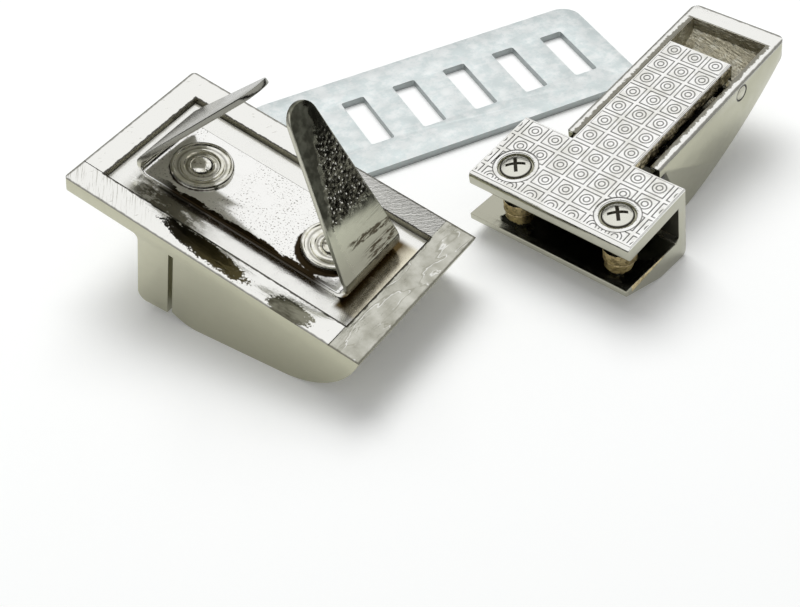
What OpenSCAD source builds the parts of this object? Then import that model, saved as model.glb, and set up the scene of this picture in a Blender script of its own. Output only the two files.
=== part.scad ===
// Purse tongue lock: keeper, slotted backing plate and tongue, laid out on a flat surface.
// Millimetres, +Z up. Keeper and tongue lie on their fronts, backs upward.

/* [Keeper] */
// Length of the keeper's back
keeper_l = 42.2; // [40:0.1:48]
// Width of the keeper
keeper_w = 23.8; // [22:0.1:30]
// Thickness of the flange
flange_t = 1.9; // [1.7:0.1:3]
// Rounding of the flange's corners
corner_r = 0.6; // [0.2:0.1:1.2]
// Distance from the mouth end to the front bands
band_x = 11.2; // [9:0.1:12]
// Length of each band along the keeper
band_l = 4.55; // [3:0.05:5]
// Depth of the bands below the back
band_depth = 13; // [11.5:0.1:13.4]
// Loss of depth across a band
band_drop = 0.5; // [0:0.1:1]
// Rounding of the bands' outer corner
band_r = 1.2; // [0.5:0.1:1.8]
// Fillet between the bands and the flange
foot_r = 0.8; // [0.3:0.1:1.5]
// Width of the groove behind each band
groove_w = 0.7; // [0.4:0.05:1.2]
// Depth of the groove
groove_d = 0.9; // [0.4:0.05:1.5]
// Place of the cheeks' crest along the keeper
crest_x = 19.2; // [18:0.1:21]
// Radius of the crest
crest_r = 6; // [4:0.1:8]
// Slope of the cheeks' flat, which is also the tilt at which the keeper lies
keeper_tilt = 12.6; // [9:0.1:14]
// Radius of the cheeks' nose
nose_r = 12.4; // [11:0.1:13.5]
// Distance of the nose's centre behind the back
nose_rise = 2.45; // [1.5:0.05:3.5]

/* [Keeper back] */
// Width of the rim at the mouth end
rim_mouth = 3.2; // [2:0.1:4]
// Width of the rim at the thin end
rim_thin = 4.1; // [3:0.1:5]
// Width of the rim along each side
rim_side = 3.5; // [2.5:0.1:5]
// Depth of the recess in the back
recess_d = 0.9; // [0.5:0.05:1]

/* [Prong strip] */
// Width of the steel strip
strip_w = 10.4; // [8:0.1:12]
// Thickness of the steel strip
strip_t = 0.7; // [0.5:0.05:0.9]
// Distance of the mouth-end bend from the mouth end
strip_mouth = 5.3; // [4.2:0.1:6]
// Distance of the thin-end bend from the thin end
strip_thin = 6.3; // [5.2:0.1:7]
// Inner radius of the bends
bend_r = 1; // [0.7:0.1:1.6]
// Angle of the mouth-end prong to the strip
prong_mouth_angle = 52; // [48:0.5:70]
// Angle of the thin-end prong to the strip
prong_thin_angle = 53.5; // [50:0.5:70]
// Length of each prong beyond its bend
prong_l = 20.6; // [16:0.1:22]
// Width of each prong across its round tip
prong_tip_w = 4.6; // [3:0.1:6]

/* [Keeper rivets] */
// Gap between each rivet's head and the bend beside it
rivet_gap = 0.2; // [0.1:0.05:1]
// Radius of the ringed rivet head
rivet_head_r = 3.8; // [3:0.1:4.2]
// Height of the rings on the rivet head
rivet_head_h = 0.5; // [0.35:0.05:0.7]
// Radius of the rivet shank
rivet_r = 1.6; // [1.2:0.1:1.8]

/* [Backing plate] */
// Number of slots
slot_count = 6; // [4:1:7]
// Distance between neighbouring slots
slot_pitch = 7.7; // [6.5:0.1:8.5]
// Width of a slot
slot_w = 3.35; // [2.5:0.05:3.9]
// Length of a slot
slot_l = 10.3; // [8:0.1:14]
// Plate left at each end beyond the last slot
plate_end = 4.5; // [3:0.1:7]
// Plate left on each side of the slots
plate_side = 5.15; // [3:0.05:7]
// Thickness of the backing plate
plate_t = 1; // [0.6:0.1:1.6]
// Rounding of the plate's corners
plate_r = 2.8; // [1:0.1:3]

/* [Tongue] */
// Length of the crossbar
bar_l = 23; // [22:0.1:27]
// Width of the crossbar
bar_w = 11.45; // [10.8:0.05:13]
// Thickness of the T-shaped plate
tee_t = 2.1; // [1.8:0.05:2.3]
// Rounding of the crossbar's front edge
bar_r = 0.6; // [0.2:0.1:0.8]
// Width of the stem
stem_w = 8.95; // [8:0.05:9.3]
// Length of the stem beyond the crossbar
stem_l = 20.7; // [19.8:0.1:22]
// Depth of the jaw below the tongue's back
jaw_depth = 11; // [10.6:0.1:11.8]
// Thickness of the jaw's end wall
jaw_wall = 1.45; // [1:0.05:1.8]
// Rounding of the jaw's lower corner
jaw_r = 0.9; // [0.5:0.1:1.4]
// Length of the jaw's flat lower face
jaw_flat = 4.6; // [3:0.1:6]
// Depth of the lip's inner face at the jaw's mouth
lip_in_front = 6.4; // [6.2:0.05:6.8]
// Depth of the lip's inner face at the end wall
lip_in_back = 7.6; // [7:0.05:8.2]
// Thickness of the lip at the jaw's mouth
lip_t = 0.9; // [0.7:0.05:1.2]
// Reach of the lip beyond the crossbar's front edge
lip_reach = 0.7; // [0:0.1:1]

/* [Clamp screws] */
// Distance of each screw from the crossbar's end
screw_x = 4.15; // [3.4:0.05:5]
// Distance of the screws from the crossbar's front edge
screw_y = 3.95; // [3.4:0.05:4.2]
// Radius of the screw head
screw_head_r = 1.95; // [1.6:0.05:2.1]
// Height of the domed screw head
screw_head_h = 1; // [0.8:0.05:1.2]
// Depth of the dish that the screw head sits in
screw_dish = 0.5; // [0.3:0.05:0.7]
// Radius of the screw shank
screw_r = 1; // [0.7:0.05:1.05]
// Radius of the boss that takes the screw
boss_r = 2; // [1.5:0.05:2.2]
// Height of the boss above the lip
boss_h = 1.8; // [1:0.1:2.2]

/* [Release shell] */
// Outer width of the shell
shell_w = 13.3; // [13:0.1:14.2]
// Thickness of the shell's walls
shell_t = 1.3; // [1:0.05:1.45]
// Radius of the shell's long front curve
shell_r = 53; // [45:0.5:60]
// Distance of that curve's centre from the crossbar's front edge
shell_y = 11; // [10:0.1:12]
// Distance of the shell's heel from the crossbar's front edge
heel_y = 19; // [18.6:0.1:19.6]
// Depth of the heel below the tongue's back
heel_depth = 12.05; // [11.8:0.05:12.3]
// Rounding of the heel
heel_r = 1.5; // [1.2:0.1:2]
// Distance of the shell's tip from the crossbar's front edge
shell_tip = 41; // [40.4:0.1:41.4]
// Rounding of the shell's corners at its tip
shell_corner = 1; // [0.5:0.1:1.2]
// Depth of the shell's edges below the tongue's back
shell_edge = 1.25; // [1.1:0.05:1.5]
// Gap between the crossbar and the shell's near points
shell_gap = 1.9; // [1.6:0.1:2.3]
// Depth of the shell's near points
point_depth = 2.6; // [2.3:0.05:2.8]
// Length of the near points' flat undersides
point_l = 1.25; // [1:0.05:1.5]
// Depth of the near wall's top edge
near_top = 3.5; // [3.4:0.05:4]
// Width of the lip across the shell's tip
lip_w = 2.3; // [1.8:0.1:2.6]
// Depth of the lip across the shell's tip
lip_d = 3.2; // [2.6:0.1:3.6]

/* [Pivot and spring] */
// Distance of the pin from the stem's end
pin_inset = 1.15; // [1:0.05:1.4]
// Depth of the pin below the tongue's back
pin_depth = 2.75; // [2.6:0.05:3]
// Radius of the pivot pin
pin_r = 1; // [0.8:0.05:1.1]
// Radius of the lug round the pin
lug_r = 1.75; // [1.6:0.05:2]
// Distance of the spring from the crossbar's front edge
spring_y = 21.5; // [20.5:0.1:22.5]
// Outer diameter of the return spring
spring_od = 3.6; // [3.2:0.1:4.2]
// Wire diameter of the return spring
wire_d = 0.45; // [0.35:0.05:0.55]
// Turns of the return spring
spring_turns = 6; // [4:1:7]
// Height of the studs that locate the spring
stud_h = 1.2; // [0.8:0.1:1.6]
// Thickness of the spring's seat on the shell's floor
seat_h = 1; // [0.6:0.1:1.4]

/* [Fits] */
// Running clearance round the pivot pin
pin_clear = 0.05; // [0.02:0.01:0.09]
// Clearance round rivets and screws
hole_clear = 0.05; // [0.02:0.01:0.1]
// Clearance of the tongue in the keeper
channel_clear = 0.5; // [0.35:0.05:0.8]
// Clearance at the shell's stops
stop_clear = 0.05; // [0.03:0.01:0.1]
// Clearance at each end of the spring
spring_clear = 0.03; // [0.02:0.01:0.06]

/* [Layout] */
// Place of the keeper's thin far corner along X
keeper_at_x = 14.32; // [10:0.01:16]
// Place of the keeper's thin far corner along Y
keeper_at_y = -11.82; // [-18:0.01:-11.5]
// Turn of the keeper about Z
keeper_yaw = 6.8; // [4:0.1:9]
// Place of the backing plate's near corner along X
plate_at_x = -12.98; // [-16:0.01:-10]
// Place of the backing plate's near corner along Y
plate_at_y = -13.62; // [-14:0.01:-8]
// Turn of the backing plate about Z
plate_yaw = 66.1; // [63:0.1:70]
// Place of the tongue's crossbar corner along X
tongue_at_x = 7.92; // [6:0.01:14]
// Place of the tongue's crossbar corner along Y
tongue_at_y = -5.32; // [-6:0.01:0]

/* [Hidden] */
$fn = 72;
over = 1;
far = 100;

// Keeper: nose, flat and crest follow one another without a kink
nose_x = keeper_l - sqrt(nose_r * nose_r - nose_rise * nose_rise);
flat_off = nose_r + nose_x * sin(keeper_tilt) - nose_rise * cos(keeper_tilt);
crest_z = -(flat_off - crest_r - crest_x * sin(keeper_tilt)) / cos(keeper_tilt);
flat_run = [sin(keeper_tilt), -cos(keeper_tilt)];
cheek_x = band_x + band_l + groove_w;
groove_floor = crest_z - sqrt(crest_r * crest_r - (crest_x - cheek_x) * (crest_x - cheek_x)) + groove_d;
channel_w = shell_w + 2 * channel_clear;
catch_h = shell_edge + 0.55;
catch_x = band_x - bar_w + shell_tip - lip_w - channel_clear;
catch_l = 1.1;

// Keeper back: the strip lies on the recess floor and the rivets hold it there
strip_top = strip_t - recess_d;
strip_from = strip_mouth + bend_r + strip_t;
strip_to = keeper_l - strip_thin - bend_r - strip_t;
prong_root = 0.4;
bend_steps = 20;
corner_steps = 7;
rivet_inset = rivet_head_r + rivet_gap;
rivets_at = [strip_from + rivet_inset, strip_to - rivet_inset];
rivet_foot_r = rivet_r + 0.5;
rivet_foot_h = 0.5;

// Tongue: it lies on the jaw's flat face and on the shell's heel
jaw_c = [bar_w - jaw_r, jaw_r - jaw_depth];
heel_c = [heel_y, heel_r - heel_depth];
lie = heel_c - jaw_c;
tongue_tilt = asin((heel_r - jaw_r) / norm(lie)) - atan2(lie[1], lie[0]);
tongue_z = jaw_r - jaw_c[0] * sin(tongue_tilt) - jaw_c[1] * cos(tongue_tilt);
jaw_low = jaw_c + jaw_r * [sin(tongue_tilt), -cos(tongue_tilt)];
screws_at = [-bar_l / 2 + screw_x, bar_l / 2 - screw_x];
lip_rise = (lip_in_back - lip_in_front) / (bar_w - jaw_wall + lip_reach);
lip_at_screw = lip_in_front + lip_rise * (screw_y + lip_reach);
shell_near = bar_w + shell_gap;
slope_at = [shell_near + point_l, -point_depth];
slope_to = heel_c - slope_at;
near_slope = atan2(-slope_to[1], slope_to[0]) + asin(heel_r / norm(slope_to));
heel_in = heel_c - heel_r * [sin(near_slope), cos(near_slope)];
curve_rise = sqrt((shell_r - heel_r) * (shell_r - heel_r) - (heel_y - shell_y) * (heel_y - shell_y));
curve_c = [shell_y, heel_c[1] + curve_rise];
heel_out = curve_c + (heel_c - curve_c) * shell_r / (shell_r - heel_r);
wall_in = shell_w - 2 * shell_t;
stem_end = bar_w + stem_l;
pin_y = stem_end - pin_inset;
shelf_l = shell_gap + point_l - 0.25;
shelf_t = 0.9;
floor_r = shell_r - shell_t;
seat_z = curve_c[1] - sqrt(floor_r * floor_r - (spring_y - shell_y) * (spring_y - shell_y)) + seat_h;
coil_r = (spring_od - wire_d) / 2;
stud_r = coil_r - wire_d / 2 - 0.15;

// Rectangle from a corner, with rounded corners
module rounded_rect(size, r) {
    translate([r, 0]) square([size[0] - 2 * r, size[1]]);
    translate([0, r]) square([size[0], size[1] - 2 * r]);
    for (x = [r, size[0] - r], y = [r, size[1] - r])
        translate([x, y]) circle(r);
}

// Points on an arc about c between two directions
function arc(c, r, from, to, steps) =
    [for (i = [0 : steps])
        let (turn = from + (to - from) * i / steps)
        c + r * [cos(turn), sin(turn)]];

// Slab of a side profile drawn in X and Z, centred across Y
module across_y(w) {
    rotate([90, 0, 0]) linear_extrude(w, center = true) children();
}

// Slab of a side profile drawn in Y and Z, centred across X
module across_x(w) {
    rotate([90, 0, 90]) linear_extrude(w, center = true) children();
}

// The keeper's own frame: mouth edge at X 0, centre line at Y 0, back at Z 0
module in_keeper() {
    translate([keeper_at_x, keeper_at_y, 0])
        rotate([0, 0, keeper_yaw])
            translate([-keeper_l * cos(keeper_tilt), -keeper_w / 2, flat_off])
                rotate([0, keeper_tilt, 0])
                    children();
}

// The tongue's own frame: crossbar centred on X with its front edge at Y 0, back at Z 0
module in_tongue() {
    translate([tongue_at_x + bar_l / 2, tongue_at_y, tongue_z])
        rotate([tongue_tilt, 0, 0])
            children();
}

// Side profile of a cheek: crest, flat and nose
module cheek_profile() {
    polygon([[cheek_x, 0], [cheek_x, crest_z], [crest_x, crest_z], [crest_x, crest_z] + crest_r * flat_run,
             [nose_x, nose_rise] + nose_r * flat_run, [nose_x, 0]]);
    intersection() {
        translate([crest_x, crest_z]) circle(crest_r);
        translate([cheek_x, -far]) square([far, far]);
    }
    intersection() {
        translate([nose_x, nose_rise]) circle(nose_r);
        translate([crest_x, -far]) square([far, far]);
    }
}

// Side profile of a band with a rounded outer corner and a filleted foot
module band_profile() {
    polygon([[band_x, 0], [band_x, band_r - band_depth], [band_x + band_r, -band_depth],
             [band_x + band_l, band_drop - band_depth], [band_x + band_l, 0]]);
    translate([band_x + band_r, band_r - band_depth]) circle(band_r);
    difference() {
        translate([band_x - foot_r, -flange_t - foot_r]) square([foot_r + 0.1, flange_t + foot_r]);
        translate([band_x - foot_r, -flange_t - foot_r]) circle(foot_r);
    }
}

// Flange, bands and cheeks before anything is cut out of them
module keeper_body() {
    intersection() {
        across_y(keeper_w) {
            translate([0, -flange_t]) square([crest_x, flange_t]);
            band_profile();
            cheek_profile();
        }
        translate([0, -keeper_w / 2, -far])
            linear_extrude(far + over) rounded_rect([keeper_l + over, keeper_w], corner_r);
    }
    across_y(keeper_w - 2 * groove_d)
        translate([band_x + band_l - 0.1, groove_floor]) square([groove_w + 0.2, -groove_floor]);
}

// Low ramp across the channel that catches the lip at the shell's tip
module keeper_catch() {
    across_y(channel_w + 0.4)
        polygon([[catch_x - 2.2 * catch_l, 0.3 - flange_t], [catch_x - 2.2 * catch_l, -flange_t],
                 [catch_x - catch_l, -flange_t - catch_h], [catch_x, -flange_t - catch_h],
                 [catch_x, 0.3 - flange_t]]);
}

module keeper_housing() {
    color("#c9c5bb") in_keeper() difference() {
        union() {
            difference() {
                keeper_body();
                translate([-over, -channel_w / 2, -far - flange_t])
                    cube([keeper_l + 2 * over, channel_w, far]);
            }
            keeper_catch();
        }
        translate([rim_mouth, rim_side - keeper_w / 2, -recess_d])
            cube([keeper_l - rim_mouth - rim_thin, keeper_w - 2 * rim_side, recess_d + over]);
        for (x = rivets_at)
            translate([x, 0, -flange_t]) {
                translate([0, 0, -over]) cylinder(h = flange_t + over, r = rivet_r + hole_clear);
                translate([0, 0, -over]) cylinder(h = rivet_foot_h + over, r = rivet_foot_r + hole_clear);
            }
    }
}

// Side profile of the strip: a flat between two bends, and prongs that lean back over it
module strip_profile() {
    outer_r = bend_r + strip_t;
    mouth_c = [strip_from, strip_top + bend_r];
    thin_c = [strip_to, strip_top + bend_r];
    mouth_out = 90 + prong_mouth_angle;
    thin_out = 450 - prong_thin_angle;
    mouth_prong = (prong_l + over / 4) * [cos(prong_mouth_angle), sin(prong_mouth_angle)];
    thin_prong = (prong_l + over / 4) * [-cos(prong_thin_angle), sin(prong_thin_angle)];
    outside = concat(arc(mouth_c, outer_r, mouth_out, 270, bend_steps),
                     arc(thin_c, outer_r, 270, thin_out, bend_steps));
    inside = concat(arc(thin_c, bend_r, thin_out, 270, bend_steps),
                    arc(mouth_c, bend_r, 270, mouth_out, bend_steps));
    last = len(outside) - 1;
    polygon(concat([outside[0] + mouth_prong], outside, [outside[last] + thin_prong],
                   [inside[0] + thin_prong], inside, [inside[last] + mouth_prong]));
}

// Flat outline of one prong beyond its root: a straight taper to a round tip
module prong_outline() {
    tip_r = prong_tip_w / 2;
    reach = prong_l - tip_r;
    taper = [reach - prong_root, strip_w / 2];
    narrow = atan2(taper[1], taper[0]) - asin(tip_r / norm(taper));
    touch = [reach + tip_r * sin(narrow), tip_r * cos(narrow)];
    polygon([[prong_root, -strip_w / 2], [touch[0], -touch[1]], touch, [prong_root, strip_w / 2]]);
    translate([reach, 0]) circle(tip_r);
}

// What the taper and the round tip take away from a prong of full width
module prong_trim(lean) {
    rotate([0, -lean, 0]) translate([0, 0, bend_r - 0.3]) linear_extrude(strip_t + 0.6) difference() {
        translate([prong_root, -strip_w / 2 - over])
            square([prong_l + over - prong_root, strip_w + 2 * over]);
        prong_outline();
    }
}

module prong_strip() {
    color("#b9b4a8") in_keeper() difference() {
        across_y(strip_w) strip_profile();
        translate([strip_from, 0, strip_top + bend_r]) prong_trim(prong_mouth_angle);
        translate([strip_to, 0, strip_top + bend_r]) mirror([1, 0, 0]) prong_trim(prong_thin_angle);
        for (x = rivets_at)
            translate([x, 0, -recess_d - over]) cylinder(h = strip_t + 2 * over, r = rivet_r + hole_clear);
    }
}

// Half section of a rivet: flush foot, shank and a dished head with raised rings and a dome
module rivet_section() {
    h = rivet_head_h;
    r = rivet_head_r;
    translate([0, -flange_t]) square([rivet_r, flange_t + strip_top]);
    translate([0, -flange_t]) square([rivet_foot_r, rivet_foot_h]);
    translate([0, strip_top])
        polygon([[0, 0], [r, 0], [r, 0.6 * h], [0.97 * r, 0.9 * h], [0.93 * r, h], [0.89 * r, 0.9 * h],
                 [0.86 * r, 0.55 * h], [0.7 * r, 0.45 * h], [0.67 * r, 0.9 * h], [0.62 * r, h],
                 [0.57 * r, 0.9 * h], [0.54 * r, 0.5 * h], [0.4 * r, 0.5 * h], [0.36 * r, 1.1 * h],
                 [0.26 * r, 1.7 * h], [0.14 * r, 2 * h], [0, 2.1 * h]]);
}

module keeper_rivets() {
    color("#b0aa9c") in_keeper()
        for (x = rivets_at)
            translate([x, 0, 0]) rotate_extrude() rivet_section();
}

module backing_plate() {
    plate_l = (slot_count - 1) * slot_pitch + slot_w + 2 * plate_end;
    color("#b4bfc4") translate([plate_at_x, plate_at_y, 0]) rotate([0, 0, plate_yaw])
        linear_extrude(plate_t) difference() {
            rounded_rect([plate_l, slot_l + 2 * plate_side], plate_r);
            for (i = [0 : slot_count - 1])
                translate([plate_end + i * slot_pitch, plate_side]) rounded_rect([slot_w, slot_l], 0.35);
        }
}

// Side profile of the C-shaped jaw under the crossbar
module jaw_profile() {
    translate(jaw_c) circle(jaw_r);
    translate([bar_w - jaw_wall, jaw_c[1]]) square([jaw_wall, -jaw_c[1]]);
    polygon([[bar_w - jaw_wall, -lip_in_back + 0.6], [bar_w - jaw_wall, jaw_c[1]], [bar_w, jaw_c[1]],
             jaw_c, jaw_low, jaw_low - jaw_flat * [cos(tongue_tilt), -sin(tongue_tilt)],
             [-lip_reach, -lip_in_front - lip_t], [-lip_reach, -lip_in_front],
             [bar_w - jaw_wall - 0.6, -lip_in_back]]);
}

// Side profile of the crossbar with a rounded front edge
module bar_profile() {
    translate([bar_r, -tee_t]) square([bar_w - bar_r, tee_t]);
    translate([0, bar_r - tee_t]) square([bar_r + 0.1, tee_t - 2 * bar_r]);
    for (z = [-bar_r, bar_r - tee_t])
        translate([bar_r, z]) circle(bar_r);
}

module tongue_frame() {
    color("#cbc7be") in_tongue() difference() {
        union() {
            across_x(bar_l) {
                bar_profile();
                jaw_profile();
            }
            translate([-stem_w / 2, bar_w - over, -tee_t]) cube([stem_w, stem_l + over, tee_t]);
            across_x(stem_w) intersection() {
                translate([pin_y, -pin_depth]) circle(lug_r);
                translate([0, -far]) square([stem_end, far]);
            }
            for (x = screws_at)
                translate([x, screw_y, -lip_at_screw - 0.5]) cylinder(h = boss_h + 0.5, r = boss_r);
            for (side = [-1, 1])
                translate([side * (wall_in + shell_t) / 2, bar_w - 0.2, -point_depth - stop_clear - shelf_t])
                    translate([-shell_t / 2, 0, 0]) cube([shell_t, shelf_l + 0.2, shelf_t]);
            translate([0, spring_y, -tee_t - stud_h]) cylinder(h = stud_h + 0.5, r = stud_r);
        }
        for (x = screws_at)
            translate([x, screw_y, 0]) {
                translate([0, 0, -lip_at_screw]) cylinder(h = far, r = screw_r + hole_clear);
                translate([0, 0, -screw_dish]) cylinder(h = far, r = screw_head_r + 0.25);
            }
        translate([0, pin_y, -pin_depth]) rotate([0, 90, 0])
            cylinder(h = far, r = pin_r + pin_clear, center = true);
    }
}

// Half section of a clamp screw: domed head and a shank that ends in the boss
module screw_section() {
    dome_h = 0.6 * screw_head_h;
    dome_r = (screw_head_r * screw_head_r + dome_h * dome_h) / (2 * dome_h);
    translate([0, 0.2 - lip_at_screw]) square([screw_r, lip_at_screw - screw_dish]);
    translate([0, -screw_dish]) intersection() {
        square([screw_head_r, screw_head_h]);
        translate([0, screw_head_h - dome_r]) circle(dome_r);
    }
}

module clamp_screws() {
    color("#aaa598") in_tongue()
        for (x = screws_at)
            translate([x, screw_y, 0]) difference() {
                rotate_extrude() screw_section();
                for (turn = [40, 130])
                    rotate([0, 0, turn]) translate([-1.2, -0.22, 0.35 - screw_dish]) cube([2.4, 0.44, far]);
            }
}

// Side profile of the shell: near points, sloping near end, heel and the long front curve
module shell_profile() {
    polygon([[shell_near, -shell_edge], [shell_near, -point_depth], slope_at, heel_in, heel_c, heel_out,
             [heel_out[0], -shell_edge]]);
    translate(heel_c) circle(heel_r);
    intersection() {
        translate(curve_c) circle(shell_r, $fn = 360);
        translate([heel_out[0], -2 * heel_depth])
            square([shell_tip - heel_out[0], 2 * heel_depth - shell_edge]);
    }
}

// Outline of the shell from above, with rounded corners at its tip
module shell_plan() {
    corner = [shell_w / 2 - shell_corner, shell_tip - shell_corner];
    polygon(concat([[-shell_w / 2 - over, bar_w], [shell_w / 2 + over, bar_w], [shell_w / 2 + over, heel_y],
                    [shell_w / 2 + over, corner[1]]],
                   arc(corner, shell_corner, 0, 90, corner_steps),
                   arc([-corner[0], corner[1]], shell_corner, 90, 180, corner_steps),
                   [[-shell_w / 2 - over, corner[1]]]));
}

// Side profile of the shell's hollow below its lip
module hollow_profile() {
    inward = shell_t / sin(near_slope);
    deep = 2 * heel_depth;
    intersection() {
        translate(curve_c) circle(floor_r, $fn = 360);
        polygon([slope_at + [inward, 0], slope_at + [inward + deep / tan(near_slope), -deep],
                 [shell_tip - shell_t, -point_depth - deep], [shell_tip - shell_t, -lip_d],
                 [shell_tip - lip_w, -lip_d], [shell_tip - lip_w, -point_depth]]);
    }
}

module release_shell() {
    color("#cdc9c0") in_tongue() difference() {
        union() {
            difference() {
                intersection() {
                    across_x(shell_w) shell_profile();
                    translate([0, 0, -2 * heel_depth]) linear_extrude(2 * heel_depth) shell_plan();
                }
                across_x(wall_in) hollow_profile();
                translate([-wall_in / 2, bar_w, -near_top])
                    cube([wall_in, heel_y + heel_r - bar_w, near_top + over]);
                translate([-wall_in / 2, heel_y, -lip_d])
                    cube([wall_in, shell_tip - lip_w - heel_y, lip_d + over]);
            }
            translate([0, spring_y, seat_z - seat_h - shell_t / 2])
                cylinder(h = seat_h + shell_t / 2, r = coil_r + wire_d);
            translate([0, spring_y, seat_z - 0.3]) cylinder(h = stud_h + 0.3, r = stud_r);
        }
        translate([0, pin_y, -pin_depth]) rotate([0, 90, 0])
            cylinder(h = 2 * shell_w, r = pin_r, center = true);
    }
}

module pivot_pin() {
    color("#b4afa3") in_tongue() translate([0, pin_y, -pin_depth])
        rotate([0, 90, 0]) cylinder(h = shell_w, r = pin_r, center = true);
}

// Compression coil between the stem and its seat, as a tube of eight sides along a helix
module coil(length) {
    sides = 8;
    steps = 14 * spring_turns;
    climb = length - wire_d;
    rise = atan2(climb, 360 * spring_turns * coil_r * PI / 180);
    rings = [for (i = [0 : steps])
        let (turn = 360 * spring_turns * i / steps, out = [cos(turn), sin(turn), 0],
             up = [sin(rise) * sin(turn), -sin(rise) * cos(turn), cos(rise)])
        for (k = [0 : sides - 1])
            coil_r * out + [0, 0, wire_d / 2 + climb * i / steps]
            + wire_d / 2 * (cos(360 * (k + 0.5) / sides) * out + sin(360 * (k + 0.5) / sides) * up)];
    walls = [for (i = [0 : steps - 1], k = [0 : sides - 1])
        let (a = i * sides + k, b = i * sides + (k + 1) % sides)
        each [[a, a + sides, b + sides], [a, b + sides, b]]];
    ends = [[for (k = [0 : sides - 1]) k], [for (k = [sides - 1 : -1 : 0]) steps * sides + k]];
    polyhedron(rings, concat(ends, walls));
}

module return_spring() {
    color("#8f8b82") in_tongue()
        translate([0, spring_y, seat_z + spring_clear]) coil(-tee_t - seat_z - 2 * spring_clear);
}

keeper_housing();
prong_strip();
keeper_rivets();
backing_plate();
tongue_frame();
clamp_screws();
release_shell();
pivot_pin();
return_spring();
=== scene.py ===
"""Looks for a purse tongue lock: a plated keeper and tongue, and a galvanised plate, on a white floor."""
import math

import bmesh
import bpy
import numpy as np
from mathutils import Matrix, Vector, noise


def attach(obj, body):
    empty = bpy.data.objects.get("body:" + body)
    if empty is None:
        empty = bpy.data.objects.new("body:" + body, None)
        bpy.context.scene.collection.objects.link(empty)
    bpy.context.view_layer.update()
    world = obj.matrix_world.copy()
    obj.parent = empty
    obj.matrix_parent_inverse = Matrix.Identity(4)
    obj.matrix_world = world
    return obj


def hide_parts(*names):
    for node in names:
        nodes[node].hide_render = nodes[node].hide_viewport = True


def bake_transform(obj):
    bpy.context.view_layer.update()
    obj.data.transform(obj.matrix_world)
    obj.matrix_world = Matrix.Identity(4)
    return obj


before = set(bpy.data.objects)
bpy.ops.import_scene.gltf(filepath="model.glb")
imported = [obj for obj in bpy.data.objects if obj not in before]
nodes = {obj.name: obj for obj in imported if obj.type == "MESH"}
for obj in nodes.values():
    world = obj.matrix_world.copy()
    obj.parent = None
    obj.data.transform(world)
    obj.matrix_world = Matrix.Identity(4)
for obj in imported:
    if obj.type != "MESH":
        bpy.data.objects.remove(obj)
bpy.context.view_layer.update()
MM = 0.001

# Where the three units lie, in millimetres and degrees, as in the part's source
KEEPER_L, KEEPER_W = 42.2, 23.8
KEEPER_AT, KEEPER_YAW, KEEPER_TILT, KEEPER_RISE = (14.32, -11.82), 6.8, 12.6, 16.563
PLATE_AT, PLATE_YAW = (-12.98, -13.62), 66.1
TONGUE_AT, TONGUE_TILT = (19.42, -5.32, 9.616), 7.114

# Sizes of the tongue and the shell
BAR_L, BAR_W, BAR_R = 23.0, 11.45, 0.6
STEM_W, STEM_L = 8.95, 20.7
TEE_T, JAW_WALL = 2.1, 1.45
SCREW_X, SCREW_Y, DISH_R = 4.15, 3.95, 2.2
SHELL_W, SHELL_T, SHELL_TIP, SHELL_EDGE, SHELL_LIP = 13.3, 1.3, 41.0, 1.25, 2.3
PIN_Y, PIN_Z, PIN_R = BAR_W + STEM_L - 1.15, -2.75, 1.0
SPRING_Y, SPRING_OD, SPRING_WIRE, SPRING_TURNS = 21.5, 3.6, 0.45, 6

# Sizes of the keeper's back
RIM_MOUTH, RIM_THIN, RIM_SIDE, RECESS_D = 3.2, 4.1, 3.5, 0.9
STRIP_W, STRIP_T, STRIP_THIN = 10.4, 0.7, 6.3
PRONG_LEAN = 53.5
BEND_R, RIVETS_AT, RIVET_R = 1.0, (11.0, 30.2), 3.8

# Painted dark reflections in patches on the keeper's near rim: middle along X, half length and half depth
RIM_REFLECTIONS = ((19.2, 7.2, 1.35), (32.0, 3.2, 1.4))

# How far the painted brown shadow on the strip reaches past each rivet: aside towards -Y, and all round
RIVET_SHADOWS = ((0.15, 0.0), (0.7, 0.2))

# Painted shade as dark lines on a rivet's head, as shares of its radius
RIVET_GROOVES = ((0.45, 0.52), (0.72, 0.79), (0.95, 1.1))

# Edges that turn more than this stay sharp
SHARP_ANGLE = math.radians(32)

# Corners nearer than this, in millimetres, are one, and so are faces that turn less than this
WELD, FLAT_ANGLE = 0.002, math.radians(0.4)


def turn(axis, degrees):
    return Matrix.Rotation(math.radians(degrees), 4, axis)


def shift(x, y, z):
    return Matrix.Translation((x, y, z))


# Each unit's own frame, in millimetres, as a matrix to the row frame
KEEPER = (shift(*KEEPER_AT, 0) @ turn("Z", KEEPER_YAW)
          @ shift(-KEEPER_L * math.cos(math.radians(KEEPER_TILT)), -KEEPER_W / 2, KEEPER_RISE)
          @ turn("Y", KEEPER_TILT))
PLATE = shift(*PLATE_AT, 0) @ turn("Z", PLATE_YAW)
TONGUE = shift(*TONGUE_AT) @ turn("X", TONGUE_TILT)


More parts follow.
